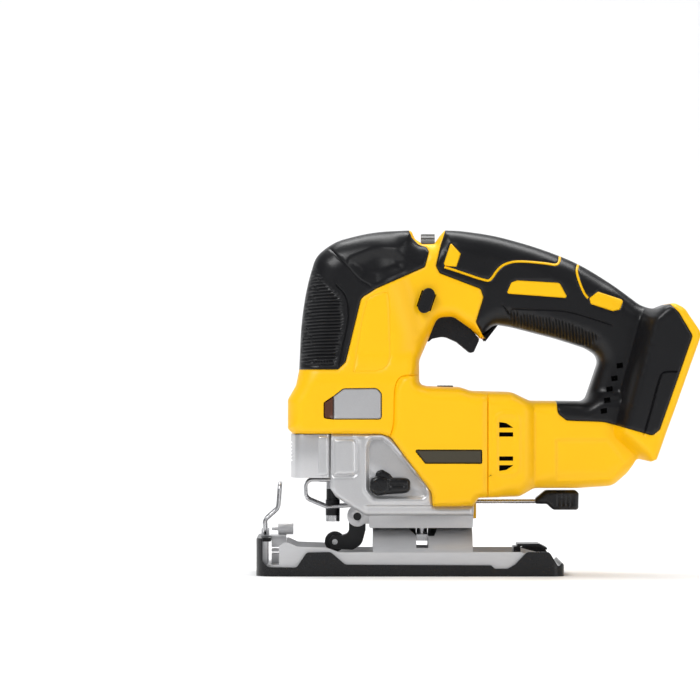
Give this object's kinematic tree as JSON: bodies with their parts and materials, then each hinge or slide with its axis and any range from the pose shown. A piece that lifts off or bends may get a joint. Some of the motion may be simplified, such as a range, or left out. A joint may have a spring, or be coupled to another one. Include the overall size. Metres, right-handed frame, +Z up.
{
  "type": "cordless jigsaw",
  "caption": "Cordless top-handle jigsaw without its battery, with a tilting shoe, guide roller, orbit selector, clamp lever and a D-shaped rubber grip.",
  "frame": {"origin": "centre of the underside of the shoe, in the middle plane of the tool", "axes": "+Z up, +X from the nose to the battery foot, +Y to the right side of the tool; -Z out of the shoe"},
  "size_m": [0.2414, 0.077, 0.1883],
  "materials": {
    "yellow_plastic": "fine texture",
    "black_rubber": "soft matt overmould",
    "gear_case_metal": "satin cast",
    "smoked_window": "smoked, glossy",
    "dark_plate": "satin print",
    "black_plastic": "moulded",
    "grey_plastic": "moulded",
    "clear_plastic": "clear",
    "steel": "ground",
    "blackened_steel": "black oxide",
    "bronze": "sintered",
    "shoe_metal": "satin cast"
  },
  "bodies": {
    "tool_body": {"badge_lens": "smoked_window", "bearing_plate": "shoe_metal", "bevel_bolt": "steel", "bevel_nut": "steel", "clamp_lever_pin": "steel", "contact_blades": "bronze", "controller_board": "black_plastic", "dial_axle": "steel", "finger_guard": "steel", "front_grip": "black_rubber", "gear_axle": "steel", "gear_case": "gear_case_metal", "grip_inlays": "yellow_plastic", "guide_pivot_pin": "steel", "handle_grip": "black_rubber", "housing_screws": "steel", "left_housing": "yellow_plastic", "motor_bearings": "steel", "plunger_bushes": "bronze", "post_cover": "black_rubber", "right_housing": "yellow_plastic", "side_badge": "gear_case_metal", "side_plate": "dark_plate", "stator": "steel", "switch_module": "black_plastic", "terminal_block": "black_plastic", "trigger_pin": "steel", "work_light": "clear_plastic"},
    "trigger_body": {"trigger": "black_plastic"},
    "lock_off_body": {"lock_off_button": "black_plastic"},
    "dial_body": {"speed_dial": "grey_plastic"},
    "blower_body": {"blower_slider": "grey_plastic"},
    "rotor_body": {"rotor_core": "steel", "rotor_shaft": "steel", "cooling_fan": "black_plastic", "pinion": "steel"},
    "gear_body": {"drive_gear": "steel", "crank_pin": "steel"},
    "plunger_body": {"plunger": "steel"},
    "collar_body": {"blade_collar": "blackened_steel"},
    "counterweight_body": {"counterweight": "steel"},
    "clamp_lever_body": {"clamp_lever": "gear_case_metal"},
    "selector_body": {"selector_knob": "black_plastic"},
    "guide_body": {"guide_arm": "blackened_steel", "roller_pin": "steel"},
    "roller_body": {"guide_roller": "steel"},
    "bevel_lever_body": {"bevel_lever": "steel", "bevel_paddle": "black_plastic"},
    "shoe_body": {"shoe": "shoe_metal", "shoe_screws": "steel", "bevel_arch": "shoe_metal", "overshoe": "black_plastic", "splinter_insert": "clear_plastic", "front_block": "shoe_metal", "front_knob": "shoe_metal", "rear_latch": "black_plastic"},
    "bail_body": {"wire_bail": "steel"}
  },
  "joints": [
    {"name": "trigger_pull", "type": "hinge", "parent": "tool_body", "child": "trigger_body", "pos_m": [0.0162, 0, 0.144], "axis": [0, -1, 0], "range_deg": [0, 8], "stiffness_Nm_per_rad": 0.35, "springref_deg": -6.88},
    {"name": "lock_off_slide", "type": "slide", "parent": "tool_body", "child": "lock_off_body", "axis": [0, 1, 0], "range_m": [0, 0.004]},
    {"name": "speed_dial_turn", "type": "hinge", "parent": "tool_body", "child": "dial_body", "pos_m": [0.01025, 0, 0.1745], "axis": [1, 0, 0], "range_deg": [0, 270]},
    {"name": "blower_slide", "type": "slide", "parent": "tool_body", "child": "blower_body", "axis": [1, 0, 0], "range_m": [0, 0.004]},
    {"name": "gear_spin", "type": "hinge", "parent": "tool_body", "child": "gear_body", "pos_m": [-0.02, 0, 0.096], "axis": [1, 0, 0], "continuous": true},
    {"name": "motor_spin", "type": "hinge", "parent": "tool_body", "child": "rotor_body", "pos_m": [0.03, 0, 0.0705], "axis": [1, 0, 0], "continuous": true},
    {"name": "plunger_stroke", "type": "slide", "parent": "tool_body", "child": "plunger_body", "axis": [0, 0, 1], "range_m": [0, 0.026]},
    {"name": "counterweight_stroke", "type": "slide", "parent": "tool_body", "child": "counterweight_body", "axis": [0, 0, 1], "range_m": [-0.0078, 0]},
    {"name": "clamp_lever_swing", "type": "hinge", "parent": "tool_body", "child": "clamp_lever_body", "pos_m": [-0.0468, 0.0217, 0.065], "axis": [0, 0, -1], "range_deg": [0, 60], "stiffness_Nm_per_rad": 0.12, "springref_deg": -11.46},
    {"name": "collar_turn", "type": "hinge", "parent": "plunger_body", "child": "collar_body", "pos_m": [-0.042, 0, 0.034], "axis": [0, 0, -1], "range_deg": [0, 45]},
    {"name": "selector_turn", "type": "hinge", "parent": "tool_body", "child": "selector_body", "pos_m": [-0.016, -0.027, 0.0488], "axis": [0, -1, 0], "range_deg": [0, 90]},
    {"name": "guide_arm_swing", "type": "hinge", "parent": "tool_body", "child": "guide_body", "pos_m": [-0.0285, 0, 0.0315], "axis": [0, 1, 0], "range_deg": [-3, 3]},
    {"name": "roller_spin", "type": "hinge", "parent": "guide_body", "child": "roller_body", "pos_m": [-0.0408, 0, 0.0174], "axis": [0, 1, 0], "continuous": true},
    {"name": "bevel_lever_swing", "type": "hinge", "parent": "tool_body", "child": "bevel_lever_body", "pos_m": [0.007, 0, 0.0395], "axis": [0, 0, -1], "range_deg": [0, 30]},
    {"name": "shoe_tilt", "type": "hinge", "parent": "tool_body", "child": "shoe_body", "pos_m": [0, 0, 0], "axis": [1, 0, 0], "range_deg": [-45, 45]},
    {"name": "wire_bail_swing", "type": "hinge", "parent": "shoe_body", "child": "bail_body", "pos_m": [-0.079, 0, 0.0226], "axis": [0, -1, 0], "range_deg": [0, 40]}
  ],
  "couplings": [
    {"joint": "motor_spin", "follows": "gear_spin", "ratio": -5.375},
    {"joint": "counterweight_stroke", "follows": "plunger_stroke", "ratio": -0.3},
    {"joint": "collar_turn", "follows": "clamp_lever_swing", "ratio": 0.75}
  ]
}
